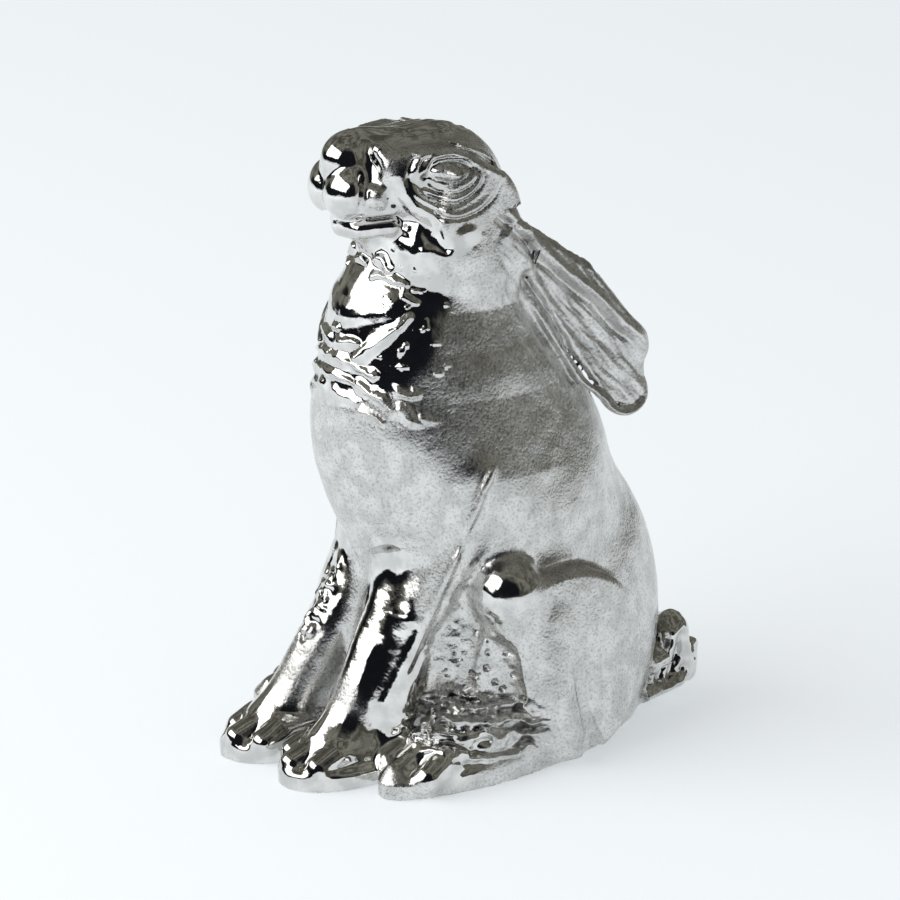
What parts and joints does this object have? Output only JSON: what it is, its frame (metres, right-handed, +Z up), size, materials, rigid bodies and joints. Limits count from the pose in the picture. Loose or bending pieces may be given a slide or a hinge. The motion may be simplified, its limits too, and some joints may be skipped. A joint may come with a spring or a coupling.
{
  "type": "figurine",
  "caption": "Cast pewter hare figurine that sits upright on its haunches with its head raised, ears laid along its back and a flat underside to stand on.",
  "frame": {"origin": "on the floor, in the flat underside of the trunk, below the middle of the body between the haunches and the forelegs", "axes": "+Z up. The hare faces -Y, so its left side is +X and its tail is at +Y."},
  "size_m": [0.0271, 0.0409, 0.0505],
  "materials": {
    "satin_pewter": "satin cast pewter, fine tumbled grain, darker patina in the hollows",
    "polished_pewter": "bright hand-polished pewter with tool marks"
  },
  "bodies": {
    "root": {"trunk": "satin_pewter", "head": "polished_pewter", "left_ear": "satin_pewter", "right_ear": "satin_pewter", "left_foreleg": "polished_pewter", "right_foreleg": "polished_pewter", "left_hind_foot": "satin_pewter", "right_hind_foot": "satin_pewter", "tail": "satin_pewter"}
  },
  "joints": []
}
